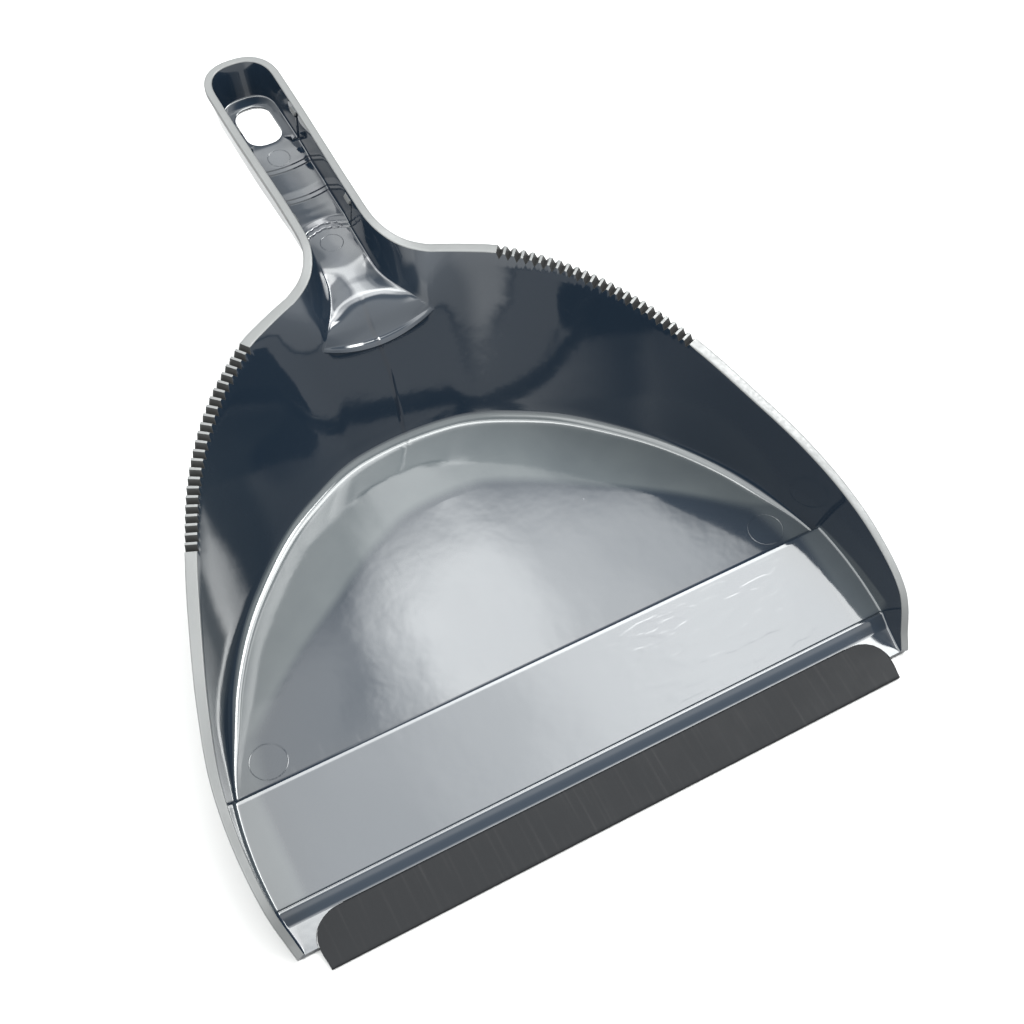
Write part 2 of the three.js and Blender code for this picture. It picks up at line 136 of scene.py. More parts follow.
# Side profile of the base: bin floor, riser, crest, ramp, drip groove, front strip, seat of the lip.
BASE_PROFILE = [
    (120, FLOOR_TOP), (2.7, FLOOR_TOP), (2.35, 3.6), (0.95, 7.1), (0.6, 7.5), (0.25, CREST_Z),
    (-0.7, CREST_Z - 0.055), (-33.4, 3.72), (-33.6, 3.55), (-33.75, 3.2), (-33.95, 3.2), (-34.15, 3.52),
    (-34.75, 3.5), (-35.2, 3.3), (-36.0, 2.92), (-37.0, 2.58), (-38.2, 2.25), (-39.0, 2.1), (-48.2, 1.8),
]


# ---- curves

def catmull(points, t):
    """Centripetal Catmull-Rom through the points, t from 0 to 1 spread evenly over the spans."""
    pts = np.asarray(points, float)
    spans = len(pts) - 1
    place = min(max(t, 0.0), 1.0) * spans
    i = min(int(place), spans - 1)
    u = place - i
    p1, p2 = pts[i], pts[i + 1]
    p0 = pts[i - 1] if i > 0 else 2 * p1 - p2
    p3 = pts[i + 2] if i + 2 <= spans else 2 * p2 - p1
    d0 = max(np.linalg.norm(p1 - p0) ** 0.5, 1e-4)
    d1 = max(np.linalg.norm(p2 - p1) ** 0.5, 1e-4)
    d2 = max(np.linalg.norm(p3 - p2) ** 0.5, 1e-4)
    m1 = ((p1 - p0) / d0 - (p2 - p0) / (d0 + d1) + (p2 - p1) / d1) * d1
    m2 = ((p2 - p1) / d1 - (p3 - p1) / (d1 + d2) + (p3 - p2) / d2) * d1
    u2, u3 = u * u, u * u * u
    return (2 * u3 - 3 * u2 + 1) * p1 + (u3 - 2 * u2 + u) * m1 + (3 * u2 - 2 * u3) * p2 + (u3 - u2) * m2


def smooth(x, low, high):
    """A soft step from 0 at low to 1 at high."""
    t = min(max((x - low) / (high - low), 0.0), 1.0)
    return t * t * (3 - 2 * t)


def unit(v):
    v = np.asarray(v, float)
    return v / max(np.linalg.norm(v), 1e-9)


def base_z(y):
    """Height of the base's side profile."""
    ys = [p[0] for p in BASE_PROFILE][::-1]
    zs = [p[1] for p in BASE_PROFILE][::-1]
    return float(np.interp(y, ys, zs))


def arc(corner, along_a, along_b, radius, steps):
    """Points of the fillet that replaces a corner between two directions that leave it."""
    a, b = unit(along_a), unit(along_b)
    angle = math.acos(float(np.clip(np.dot(a, b), -0.999, 0.999)))
    reach = radius / math.tan(angle / 2)
    centre = corner + unit(a + b) * (radius / math.sin(angle / 2))
    first, last = corner + a * reach - centre, corner + b * reach - centre
    turn = math.pi - angle
    out = []
    for i in range(steps + 1):
        s = i / steps
        w = (math.sin((1 - s) * turn) * first + math.sin(s * turn) * last) / math.sin(turn)
        out.append(centre + w)
    return out


# ---- columns of the wall

UP = np.array((0, 0, 1.0))
BEAD_UP = np.array((0, -0.707, 0.707))  # square to the spout


class Column:
    """One cut through the wall at a right angle to the rim."""

    def __init__(self, rim, knee, foot, mid=None):
        self.rim, self.knee, self.foot = (np.array(p, float) for p in (rim, knee, foot))
        self.mid = None if mid is None else np.array(mid, float)
        self.valley = self.comb = self.ridge = False
        self.toe_y = None


def row_shift(across, y):
    """How far the channel's rows bow along y: the upper finger steps towards the pan, the last one away."""
    crown = 1 - across * across
    shift = -0.9 * crown * smooth(y, 168, 173) * (1 - smooth(y, 197, 203))
    x = 9.5 * across
    ragged = 0.22 * math.sin(2.3 * x) + 0.16 * math.sin(4.1 * x + 1) + 0.1 * math.sin(9.7 * x + 2)
    last = STEP_YS[-1]
    wide = smooth(y, last - 11, last - 1) * (1 - smooth(y, last + 1, last + 11))
    close = smooth(y, last - 2.6, last - 0.6) * (1 - smooth(y, last + 0.6, last + 2.6))
    return shift + 3.0 * crown * wide + ragged * crown ** 0.3 * close


def step_lift(y):
    """Height of the finger humps: the floor drops in two small steps, then rises slowly to a shoulder."""
    lift = 0.0
    for step in STEP_YS:
        drop = sum(0.5 * smooth(edge - y, 0, 0.3) for edge in (step + 1.2, step - 0.6))
        shoulder = 0.28 * smooth(step + 4.8 - y, 0, 3.6)
        rise = min(max((step - 0.9 - y) / STEP_LENGTH, 0.0), 1.0)
        lift -= (STEP_DROP * drop + shoulder) * (1 - rise)
    return lift * smooth(y, 141, 152)


def soft_lift(y):
    """The same steps on the handle's underside, rounded off."""
    reach = range(-6, 7)
    return sum(step_lift(y + d) for d in reach) / len(reach)


def handle_columns():
    """From the middle of the handle's end to the end of the spout's lip."""
    columns = []
    power = 2 / 2.5  # the end of the handle is a squared-off half circle
    for i in range(END_COLUMNS):
        angle = math.pi / 2 * (1 - i / END_COLUMNS)
        c, s = math.cos(angle) ** power, math.sin(angle) ** power
        c = 0.0 if i == 0 else c
        foot = (10.3 * c, 223 + 10.6 * s, 48.3)
        columns.append(Column((10.95 * c, 226 + 12.4 * s, 60.5), foot, foot, (0, foot[1], foot[2])))
    rims, feet, mids = zip(*HANDLE_STATIONS)
    ts = np.linspace(0, 1, 3001)
    foot_y = np.array([catmull(feet, t)[1] for t in ts])
    ys = [*np.arange(223, 197, -1.5), *np.arange(197, 154, -0.3), *np.arange(154, 132, -1.0)]
    picks = [float(np.interp(-y, -foot_y, ts)) for y in ys]
    first = picks[-1]
    picks += list(np.linspace(first, 0.93, 26)[1:])
    picks += [0.938, 0.946, 0.954, 0.963, 0.973, 0.982, 0.989, 0.994, 0.998, 1.0]
    for t in picks:
        foot = catmull(feet, t)
        columns.append(Column(catmull(rims, t), foot, foot, catmull(mids, t)))
    for c in columns:
        c.lift = step_lift(c.foot[1])
        c.under = soft_lift(c.foot[1])
        c.foot[2] += c.lift
        c.mid[2] -= 0.35 * smooth(c.foot[1], 140, 152) * (1 - smooth(c.foot[1], 197, 203))
        c.knee = c.foot
    return columns


def bin_columns():
    """From the end of the spout's lip, round the bin to the front tip."""
    rims, knees, feet = zip(*BIN_STATIONS)

    def at(t):
        return Column(catmull(rims, t), catmull(knees, t), catmull(feet, t))

    ts = np.linspace(0, 1, 4001)
    rim_line = np.array([catmull(rims, t) for t in ts])
    foot_y = np.array([catmull(feet, t)[1] for t in ts])
    walked = np.concatenate([[0], np.cumsum(np.linalg.norm(np.diff(rim_line, axis=0), axis=1))])
    comb_start = float(np.interp(-COMB_START_Y, -rim_line[:, 1], walked))

    def at_walk(w):
        return at(float(np.interp(w, walked, ts)))

    before = 18
    columns = [at_walk(comb_start * i / before) for i in range(before)]
    half_v = (COMB_PITCH - COMB_RIDGE) / 2
    for tooth in range(COMB_TEETH):
        centre = comb_start + (tooth + 0.5) * COMB_PITCH
        for offset in (-COMB_PITCH / 2, -half_v, 0, half_v):
            c = at_walk(centre + offset)
            c.comb = True
            c.valley = offset == 0
            c.ridge = offset in (-COMB_PITCH / 2, half_v)  # a ridge top starts at this column
            columns.append(c)
    last = at_walk(comb_start + COMB_TEETH * COMB_PITCH)
    last.comb = True
    columns.append(last)
    plain = np.linspace(last.foot[1], 4.4, 34)[1:]
    crest = [3.4, 2.7, 2.35, 1.9, 1.4, 0.95, 0.6, 0.42, 0.25, 0.1, -0.1, -0.4, -0.7, -1.0]
    ramp = [*np.linspace(-1.8, -33.0, 26), -33.4, -33.6, -33.75, -33.95, -34.15, -34.45, -34.75, -34.95,
            -35.2, -35.6]
    front = [-36.0, -36.4, -36.9, -37.4, -38.2, -38.8, -39.1, -39.18, -39.35, -39.5, -39.7, -39.95, -40.3,
             *np.linspace(-40.8, -47.9, 16)]
    for y in [*plain, *crest, *ramp, *front]:
        c = at(float(np.interp(-y, -foot_y, ts)))
        c.toe_y = float(y) if y < 3 else None
        columns.append(c)
    return columns


def panel_columns():
    """The back wall under the spout, from the mirror plane to the end of the spout's lip."""
    columns = []
    for j in range(ACROSS + 1):
        s = j / ACROSS
        foot = (PANEL_HALF * s, BACK_CENTRE_Y - PANEL_BOW * s * s, FLOOR_TOP)
        knee = bowed(LIP_MIDDLE, LIP_END, s)
        c = Column(knee, knee, foot)
        c.foot_out = unit((2 * PANEL_BOW * s / PANEL_HALF, 1, 0))
        columns.append(c)
    return columns


def bowed(middle, edge, s):
    """A point across the channel: s is 0 on the mirror plane and 1 at the edge."""
    m, e = np.asarray(middle, float), np.asarray(edge, float)
    return np.array((e[0] * s, m[1] + (e[1] - m[1]) * s * s, m[2] + (e[2] - m[2]) * s * s))


def add_directions(columns):
    """Outward directions of rim and foot, and the width of the flat rim."""
    for i, c in enumerate(columns):
        before, after = columns[max(i - 1, 0)], columns[min(i + 1, len(columns) - 1)]
        rim_along = after.rim - before.rim
        foot_along = (after.foot - before.foot)[:2]
        c.out = unit((-rim_along[1], rim_along[0], 0))
        c.foot_out = unit((-foot_along[1], foot_along[0], 0)) if np.linalg.norm(foot_along) > 0.1 else c.out
        handle = smooth(c.rim[1], 120, 145)
        tip = 1 - smooth(c.rim[1], -45, 50)
        c.flange = FLANGE_PAN + handle * (FLANGE_HANDLE - FLANGE_PAN) + tip * (FLANGE_TIP - FLANGE_PAN)
    columns[0].out = columns[0].foot_out = np.array((0, 1.0, 0))


def add_floor_directions(columns):
    """Slowly turning outward directions for the floor, so that lines drawn inwards don't cross."""
    feet = np.array([c.foot[:2] for c in columns])
    walked = np.concatenate([[0], np.cumsum(np.linalg.norm(np.diff(feet, axis=0), axis=1))])
    reach = 16.0
    for c, w in zip(columns, walked):
        ends = [np.array([np.interp(w + d, walked, feet[:, k]) for k in (0, 1)]) for d in (-reach, reach)]
        along = ends[1] - ends[0]
        c.floor_out = unit((-along[1], along[0], 0))


# ---- points of one column

def rise_to_rim(knee, rim, lean):
    """Wall points from the knee towards the rim, leaving the knee along lean. The knee is left out."""
    control = knee + unit(lean) * np.linalg.norm(rim - knee) * 0.45
    rows = []
    for i in range(1, ROWS_HIGH + 1):
        t = i / ROWS_HIGH
        rows.append((1 - t) ** 2 * knee + 2 * t * (1 - t) * control + t * t * rim)
    return rows


def rim_points(c, below):
    """The flat rim, from the top of the inner wall over its edge to the outer wall under it."""
    slope = float(np.dot(c.rim - below, c.out) / max(c.rim[2] - below[2], 0.1))
    top, outer = c.rim.copy(), c.rim + c.out * c.flange
    round_in, round_out, skin = 0.45, 0.5, FLANGE_SKIN
    if c.comb:
        round_in, round_out, skin = 0.16, 0.12, FLANGE_SKIN + 0.6
    if c.valley:
        top = top - UP * COMB_DEPTH - c.out * COMB_DEPTH * slope
        outer = outer - UP * COMB_DEPTH
    size = min(1.0, max(c.rim[2] - 1.2, 0.3) / 2.6)
    skin *= size
    points = arc(top, below - c.rim, c.out, round_in * size, 4)
    edge = outer - c.out * 0.6
    points += [points[-1] + (edge - points[-1]) * s for s in (0.4, 0.8)]
    points += arc(outer, -c.out, -UP, round_out * size, 4)
    bottom = c.rim - UP * skin
    points += [bottom + c.out * c.flange + UP * 0.12, bottom + c.out * (c.flange - 0.12)]
    points += [bottom + c.out * (WALL + 0.3), bottom + c.out * WALL - UP * 0.3]
    return points


def dome_width(y):
    """Width of the border in which the bin floor falls towards its wall."""
    return 9 + 19 * smooth(y, 10, 85)


def dome_fall(y):
    """How far the floor falls at its wall: nothing at the crest, most at the back."""
    return FLOOR_DOME * smooth(y, 6, 75)


def floor_level(c):
    """Height of the base at a column's foot."""
    y = c.toe_y if c.toe_y is not None else c.foot[1]
    return base_z(y) - dome_fall(y)


def low_part(c, knee, out):
    """Inner and outer points between the floor and the knee, for the bin and the back panel."""
    up = unit(c.knee - c.foot)
    level = floor_level(c)
    foot = c.foot + up * ((level - c.foot[2]) / up[2])
    y = c.toe_y if c.toe_y is not None else foot[1]
    room = max(c.rim[2] - foot[2], 0.2)
    radius = min(0.9 + 2.6 * smooth(y, 2.7, 30) + 0.6 * smooth(y, 60, 98), room * 0.3)
    fillet = arc(foot, -c.foot_out, up, radius, 8)
    if c.toe_y is not None:
        fillet[0][1] = c.toe_y
        fillet[0][2] = level
    start = fillet[-1]
    inner = fillet + [start + (knee - start) * i / ROWS_LOW for i in range(1, ROWS_LOW + 1)]
    knee_out = knee + out * WALL
    bottom = foot + c.foot_out * WALL
    bottom = bottom + up * ((max(base_z(y) - FLOOR_SKIN, 0.35) - bottom[2]) / up[2])
    bend = arc(bottom, up, -c.foot_out, min(3.5, room * 0.22), 6)
    if c.toe_y is not None:
        bend[-1][1] = c.toe_y
    outer = [knee_out + (bend[0] - knee_out) * i / ROWS_LOW for i in range(ROWS_LOW)] + bend
    return inner, outer


def bin_column_points(c):
    """The whole loop of a bin column: toe inside, wall, rim, outer wall, toe below."""
    level = floor_level(c)
    room = c.rim[2] - level
    knee = c.knee
    if knee[2] < level + room * 0.5:
        part = (level + room * 0.6 - c.foot[2]) / (c.rim[2] - c.foot[2])
        knee = c.foot + (c.rim - c.foot) * part
    inner, outer_low = low_part(c, knee, c.out)
    high = rise_to_rim(knee, c.rim, c.knee - c.foot)
    rim = rim_points(c, high[-2])
    top = rim[-1]
    knee_out = outer_low[0]
    outer_high = [top + (knee_out - top) * i / ROWS_HIGH for i in range(1, ROWS_HIGH)]
    return inner + high[:-2] + rim + outer_high + outer_low


def handle_column_points(c, lean_at_lip):
    """The loop of a handle column: toe on the channel floor, wall, rim, outer wall, toe below."""
    away = smooth(c.foot[1], 116.62, 127)
    fillet = [c.foot] * 5
    if away > 0:
        fillet = arc(c.foot, -c.foot_out, c.rim - c.foot, 0.02 + 0.6 * away, 4)
    knee = fillet[-1]
    lean = unit(lean_at_lip) * (1 - away) + unit(c.rim - c.foot) * away
    high = rise_to_rim(knee, c.rim, lean)
    rim = rim_points(c, high[-2])
    top = rim[-1]
    hem = c.foot + c.out * WALL * (1 - away) + (c.foot_out * HEM_HANDLE - UP * FLOOR_SKIN) * away
    hem = hem + UP * (c.under - c.lift)
    bend = [hem] * 6
    if away > 0:
        bend = arc(hem, top - hem, -c.foot_out, 0.02 + 1.5 * away, 5)
    outer = [top + (bend[0] - top) * i / ROWS_HIGH for i in range(1, ROWS_HIGH)] + bend
    return fillet + high[:-2] + rim + outer


# ---- mesh patches

class Patches:
    """Collects grids of points; edges that share points are welded when the mesh is made."""

    def __init__(self):
        self.points = []
        self.faces = []
        self.slots = []

    def grid(self, rows, close=False, slot=None):
        """Quads between rows of points. slot(i, j) gives the material slot of a quad."""
        start, width = len(self.points), len(rows[0])
        for row in rows:
            self.points.extend(row)
        for i in range(len(rows) - 1):
            for j in range(width if close else width - 1):
                a, b = start + i * width + j, start + i * width + (j + 1) % width
                self.faces.append((a, b, b + width, a + width))
                self.slots.append(slot(i, j) if slot else 0)

    def polygon(self, loop):
        """One face with many corners."""
        start = len(self.points)
        self.points.extend(loop)
        self.faces.append(tuple(range(start, start + len(loop))))
        self.slots.append(0)

    def fill(self, loop, height):
        """Fills an outline seen from above, with height(x, y) for z."""
        points = [Vector((p[0], p[1])) for p in loop]
        edges = [(i, (i + 1) % len(loop)) for i in range(len(loop))]
        verts, _, faces, _, _, _ = delaunay_2d_cdt(points, edges, [], 1, 1e-6)
        start = len(self.points)
        self.points.extend(np.array((v.x, v.y, height(v.x, v.y))) for v in verts)
        self.faces.extend(tuple(start + i for i in f) for f in faces)
        self.slots.extend(0 for _ in faces)


def make_mesh(name, patches, mirror=True, weld=0.004, sharp=32):
    """A welded, closed mesh object in metres from the patches, mirrored across x = 0."""
    bm = bmesh.new()
    signs = (1, -1) if mirror else (1,)
    for sign in signs:
        verts = [bm.verts.new((p[0] * sign * MM, p[1] * MM, p[2] * MM)) for p in patches.points]
        for face, slot in zip(patches.faces, patches.slots):
            bm.faces.new([verts[i] for i in face]).material_index = slot
    bmesh.ops.remove_doubles(bm, verts=bm.verts, dist=weld * MM)
    bmesh.ops.dissolve_degenerate(bm, edges=bm.edges, dist=weld * MM)
    bare_edges = [edge for edge in bm.edges if not edge.link_faces]
    bmesh.ops.delete(bm, geom=bare_edges, context="EDGES")
    bmesh.ops.recalc_face_normals(bm, faces=bm.faces)
    mesh = bpy.data.meshes.new(name)
    bm.to_mesh(mesh)
    bm.free()
    mesh.polygons.foreach_set("use_smooth", [True] * len(mesh.polygons))
    mesh.set_sharp_from_angle(angle=math.radians(sharp))
    obj = bpy.data.objects.new(name, mesh)
    bpy.context.scene.collection.objects.link(obj)
    return obj


# ---- the pan

def floor_row(toe, out, plane_z):
    """Points of the base from the mirror plane out to a column's toe."""
    inward = smooth(toe[1], 3, 40)
    direction = unit(np.array((1.0, 0, 0)) * (1 - inward) + out * inward)
    row = []
    if toe[1] < SEAT_BACK_Y:
        edge = lip_half_width(toe[1]) + SEAT_GAP
        spread = [edge + (toe[0] - edge) * i / 6 for i in range(1, 7)]
        row = [np.array((x, toe[1], min(toe[2], SEAT_Z))) for x in (edge - 5, edge - 1, edge - 0.05)]
        row += [np.array((x, toe[1], toe[2])) for x in (edge + 0.05, *spread)]
        return [row[0] * (0, 1, 1)] + row
    for part in BORDER_STEPS:
        reach = part * dome_width(toe[1])
        p = toe - direction * reach
        p[0] = max(p[0], toe[0] * 0.02 * (1 - part))
        p[2] = plane_z + (toe[2] - plane_z) * (1 - part) ** 1.25
        row.append(p)
    middle = np.array((0.0, row[0][1], row[0][2]))
    return [middle] + row


def channel_row(lift, middle, toe):
    """Points across the channel, from the mirror plane to the toe of the wall, with the finger steps."""
    row = [bowed(middle, toe - UP * lift, j / ACROSS) for j in range(ACROSS + 1)]
    for j, p in enumerate(row):
        p[1] += row_shift(j / ACROSS, toe[1]) if 140 < toe[1] < 204 else 0
        p[2] += lift
    return row


def lip_bead(distance, s):
    """Height of the raised bead along the spout's lip."""
    up = smooth(distance, 0, 0.5) * (1 - smooth(distance, 1.9, 3.3))
    return 0.55 * up * (1 - smooth(s, 0.86, 1.0))


def wall_slots(columns, rim_start):
    """Gives the material slot of a quad in a wall grid: plastic, the flat rim with its painted highlight, or
    the flank of a comb tooth with its painted shade.
    """

    def slot(i, j):
        if not rim_start <= j < rim_start + RIM_STRIPS:
            return 0
        flank = columns[i].comb and columns[i + 1].comb and not columns[i].ridge
        # Flanks of the comb's teeth take the darker pan_comb finish: painted shade in the grooves beside the
        # lit ridges.
        return 2 if flank else 1

    return slot


def add_back_panel(patches, panel, shared, lip_under):
    """The back wall under the spout, inside and outside, up to the column that it shares with the bin."""
    lip_out = shared.knee + shared.out * WALL
    inner_rows, outer_rows = [], []
    for j, c in enumerate(panel):
        knee_out = bowed(lip_under, lip_out, j / ACROSS)
        inner, outer = low_part(c, c.knee, np.array((0, 1.0, 0)))
        bottom = outer[ROWS_LOW]
        outer = [knee_out + (bottom - knee_out) * i / ROWS_LOW for i in range(ROWS_LOW)] + outer[ROWS_LOW:]
        if j == ACROSS:
            inner, outer = low_part(shared, shared.knee, shared.out)
        inner_rows.append(inner)
        outer_rows.append(outer)
    patches.grid(inner_rows)
    patches.grid(outer_rows)
    return inner_rows, outer_rows


def add_base(patches, columns, toes):
    """Bin floor, crest, ramp and front strip in one grid, and their undersides in another. toes holds
    the first point of each column on the base and the last one under it."""
    top_rows, under_rows = [], []
    for c, (toe, under_toe) in zip(columns, toes):
        plane_z = FLOOR_TOP if toe[1] > 2.7 else toe[2]
        top_rows.append(floor_row(toe, c.floor_out, plane_z))
        under_rows.append([np.array((0, under_toe[1], under_toe[2])), under_toe])
    patches.grid(top_rows)
    patches.grid(under_rows)
    return top_rows, under_rows


def channel_rows(handle, loops):
    """Rows across the channel with its spout, and rows across the handle's underside."""
    floor_rows, below_rows = [], []
    for k, (c, loop) in enumerate(zip(handle, loops)):
        middle = c.mid + np.array((0, loop[0][1] - c.foot[1], loop[0][2] - c.foot[2]))
        below = underside_middle(handle, k)
        if k < END_COLUMNS + 2:  # round the handle's end the underside follows its own edge
            below = loop[-1] * (0, 1, 1) - UP * c.under
        floor_rows.append(channel_row(c.lift, middle, loop[0]))
        below_rows.append(channel_row(c.under, below, loop[-1]))
        to_lip = np.linalg.norm(c.mid - handle[-1].mid)
        if to_lip < BEAD_REACH:
            for j, p in enumerate(floor_rows[-1]):
                p += BEAD_UP * lip_bead(to_lip, j / ACROSS)
    return floor_rows, below_rows


def build_pan():
    """The pan in two objects: its closed shell, and the small raised details on it."""
    handle = handle_columns()
    bins = bin_columns()
    panel = panel_columns()
    shared = bins[0]
    add_directions(handle[:-1] + bins)
    handle[-1].out = handle[-1].foot_out = shared.out
    handle[-1].flange = shared.flange
    shared.foot_out = panel[-1].foot_out
    add_floor_directions(panel[:-1] + bins)
    bin_loops = [bin_column_points(c) for c in bins]
    handle_loops = [handle_column_points(c, shared.knee - shared.foot) for c in handle]

    patches = Patches()
    patches.grid(bin_loops, slot=wall_slots(bins, BIN_RIM_START))
    patches.grid(handle_loops, slot=wall_slots(handle, HANDLE_RIM_START))
    lip_under = underside_middle(handle, len(handle) - 1)
    inner_rows, outer_rows = add_back_panel(patches, panel, shared, lip_under)
    toes = [(inner[0], outer[-1]) for inner, outer in zip(inner_rows[:-1], outer_rows)]
    toes += [(loop[0], loop[-1]) for loop in bin_loops]
    top_rows, under_rows = add_base(patches, panel[:-1] + bins, toes)
    # the front end: one face across the plate and the end of the wall
    patches.polygon(top_rows[-1][:-1] + bin_loops[-1] + [under_rows[-1][0]])
    floor_rows, below_rows = channel_rows(handle, handle_loops)
    add_channel(patches, floor_rows, below_rows)
    pan = make_mesh("pan_shell", patches)
    cut(pan, clip_slits())
    return pan, build_details(bins, panel, floor_rows)


def build_details(bins, panel, floor_rows):
    """Ejector marks, the standing ring and the clip wedges."""
    patches = Patches()
    floor_mark(patches, bins)
    channel_marks(patches, floor_rows)
    standing_ring(patches, bins, panel)
    clip_tabs(patches)
    return make_mesh("pan_details", patches)


def underside_middle(handle, k):
    """The handle's underside on the mirror plane, one skin below the channel floor."""
    a, b = handle[max(k - 1, 0)].mid, handle[min(k + 1, len(handle) - 1)].mid
    along = unit(b - a)
    down = np.array((0, -along[2], along[1]))
    if down[2] > 0:
        down = -down
    return handle[k].mid + down * FLOOR_SKIN


def hole_half(grow):
    """Right half of the hanging hole's outline from its handle end to its pan end."""
    x, y, r = HOLE_HALF_X + grow, HOLE_HALF_Y + grow, HOLE_CORNER + grow
    points = [(0, HOLE_Y + y)]
    for centre_y, start in ((HOLE_Y + y - r, 90), (HOLE_Y - y + r, 0)):
        for i in range(11):
            a = math.radians(start - 9 * i)
            points.append((x - r + r * math.cos(a), centre_y + r * math.sin(a)))
    points.append((0, HOLE_Y - y))
    return points


def add_channel(patches, floor_rows, below_rows):
    """Channel floor and underside with the hanging hole between two rows of the grid."""
    ys = [row[0][1] for row in floor_rows]
    first = max(i for i, y in enumerate(ys) if y > HOLE_Y + HOLE_HALF_Y + 1.2)
    last = min(i for i, y in enumerate(ys) if y < HOLE_Y - HOLE_HALF_Y - 1.2)
    rings = []
    for rows in (floor_rows, below_rows):
        patches.grid(rows[: first + 1])
        patches.grid(rows[last:])
        edge_y = [rows[k][-1][1] for k in range(first, last + 1)][::-1]
        edge_z = [rows[k][-1][2] for k in range(first, last + 1)][::-1]

        def height(x, y, edge_y=edge_y, edge_z=edge_z):
            return float(np.interp(y, edge_y, edge_z))

        outer = [tuple(p[:2]) for p in rows[first]]
        outer += [tuple(rows[k][-1][:2]) for k in range(first + 1, last)]
        outer += [tuple(p[:2]) for p in rows[last][::-1]]
        hole = hole_half(HOLE_ROUND if rows is floor_rows else 3 * HOLE_ROUND)
        patches.fill(outer + hole[::-1], height)
        rings.append([np.array((x, y, height(x, y))) for x, y in hole])
    upper = rounded_rings(rings[0], hole_half(0), -1)
    lower = rounded_rings(rings[1], hole_half(1.0), 1)
    patches.grid([rings[0], *upper, *lower[::-1], rings[1]])


def rounded_rings(edge, inside, way):
    """Two rings that round an edge of the hole into its wall. way is -1 on top and 1 underneath."""
    rings = []
    for depth in (0.15, HOLE_ROUND):
        t = math.sqrt(max(0.0, 1 - (1 - depth / HOLE_ROUND) ** 2))
        ring = []
        for (x, y, z), (inside_x, inside_y) in zip(edge, inside):
            ring.append(np.array((x + (inside_x - x) * t, y + (inside_y - y) * t, z + way * depth)))
        rings.append(ring)
    return rings


# ---- small features of the pan

def bead_ring(patches, centre, path, width, height, closed=True):
    """A thin low ridge that follows a path round a centre."""
    section = ((-0.5, -0.15), (-0.42, 0.5), (-0.15, 1), (0.15, 1), (0.42, 0.5), (0.5, -0.15))
    rows = []
    for p in path:
        side = unit((p - centre) * (1, 1, 0))
        rows.append([p + side * across * width + UP * up * height for across, up in section])
    patches.grid([*rows, rows[0]] if closed else rows, close=True)


def floor_mark(patches, bins):
    """The raised rim of the round ejector mark on the bin floor."""
    x0, y0, radius = FLOOR_MARK
    toe_line = np.array([c.foot[:2] for c in bins])
    count = 56
    path = []
    for i in range(count):
        angle = 2 * math.pi * i / count
        x, y = x0 + radius * math.cos(angle), y0 + radius * math.sin(angle)
        gap = np.min(np.linalg.norm(toe_line - (x, y), axis=1)) - 1.5
        fall = dome_fall(y) * max(0.0, 1 - gap / dome_width(y)) ** 1.25
        path.append(np.array((x, y, FLOOR_TOP - fall)))
    bead_ring(patches, np.array((x0, y0, FLOOR_TOP)), path, 0.34, 0.1)


def channel_marks(patches, rows):
    """Two round ejector marks on the channel floor, whose height comes from the floor's own rows."""
    rows = [row for row in rows if row[0][1] > 140][::-1]
    columns = [([p[0] for p in row], [p[1] for p in row], [p[2] for p in row]) for row in rows]

    def height(x, y):
        ys = [np.interp(x, xs, row_ys) for xs, row_ys, _ in columns]
        zs = [np.interp(x, xs, row_zs) for xs, _, row_zs in columns]
        return float(np.interp(y, ys, zs))

    count = 32
    for centre in CHANNEL_MARK_YS:
        path = []
        for i in range(count + 1):
            angle = math.pi * i / count
            x, y = CHANNEL_MARK_RADIUS * math.sin(angle), centre + CHANNEL_MARK_RADIUS * math.cos(angle)
            path.append(np.array((x, y, height(x, y))))
        path[0][0] = path[-1][0] = 0.0
        level = np.array((0, centre, path[count // 2][2]))
        bead_ring(patches, level, path, 0.3, 0.09, closed=False)


def standing_ring(patches, bins, panel):
    """The raised ring under the bin that the pan stands on, closed by a bar under the crest."""
    outer_edge, inner_edge = [], []
    for c in [*panel[:-1:2], *bins[::3]]:
        if c.foot[1] < 1:
            break
        outer_edge.append(c.foot - c.foot_out * RING_OUTER)
        inner_edge.append(c.foot - c.foot_out * RING_INNER)
    outer_edge.append(np.array((101.0, -1.2, 0)))
    inner_edge.append(np.array((98.4, 1.2, 0)))
    outer_edge.append(np.array((0.0, -1.2, 0)))
    inner_edge.append(np.array((0.0, 1.2, 0)))
    rows = []
    for o, i in zip(outer_edge, inner_edge):
        inward = unit((i - o) * (1, 1, 0))
        rows.append([
            np.array((*o[:2], 1.5)), np.array((*o[:2], 0.25)), np.array((*(o + inward * 0.25)[:2], 0.0)),
            np.array((*(i - inward * 0.25)[:2], 0.0)), np.array((*i[:2], 0.25)), np.array((*i[:2], 1.5)),
        ])
    patches.grid(rows, close=True)


def clip_tabs(patches):
    """Small wedges on the channel walls that snap over the handle of a brush."""
    for y0, wall_x, top_z in CLIP_WEDGES:
        rows = []
        for along, size in WEDGE_ALONG:
            row = [(wall_x + x * size, y0 + along, top_z + z * (0.9 + 0.1 * size)) for x, z in WEDGE_OUTLINE]
            rows.append([np.array(p) for p in row])
        # The wedge's two top faces take the flat rim's pale finish: a painted glint.
        patches.grid(rows, close=True, slot=lambda i, j: 1 if 1 <= j <= 2 else 0)
        patches.polygon(rows[0])
        patches.polygon(rows[-1][::-1])


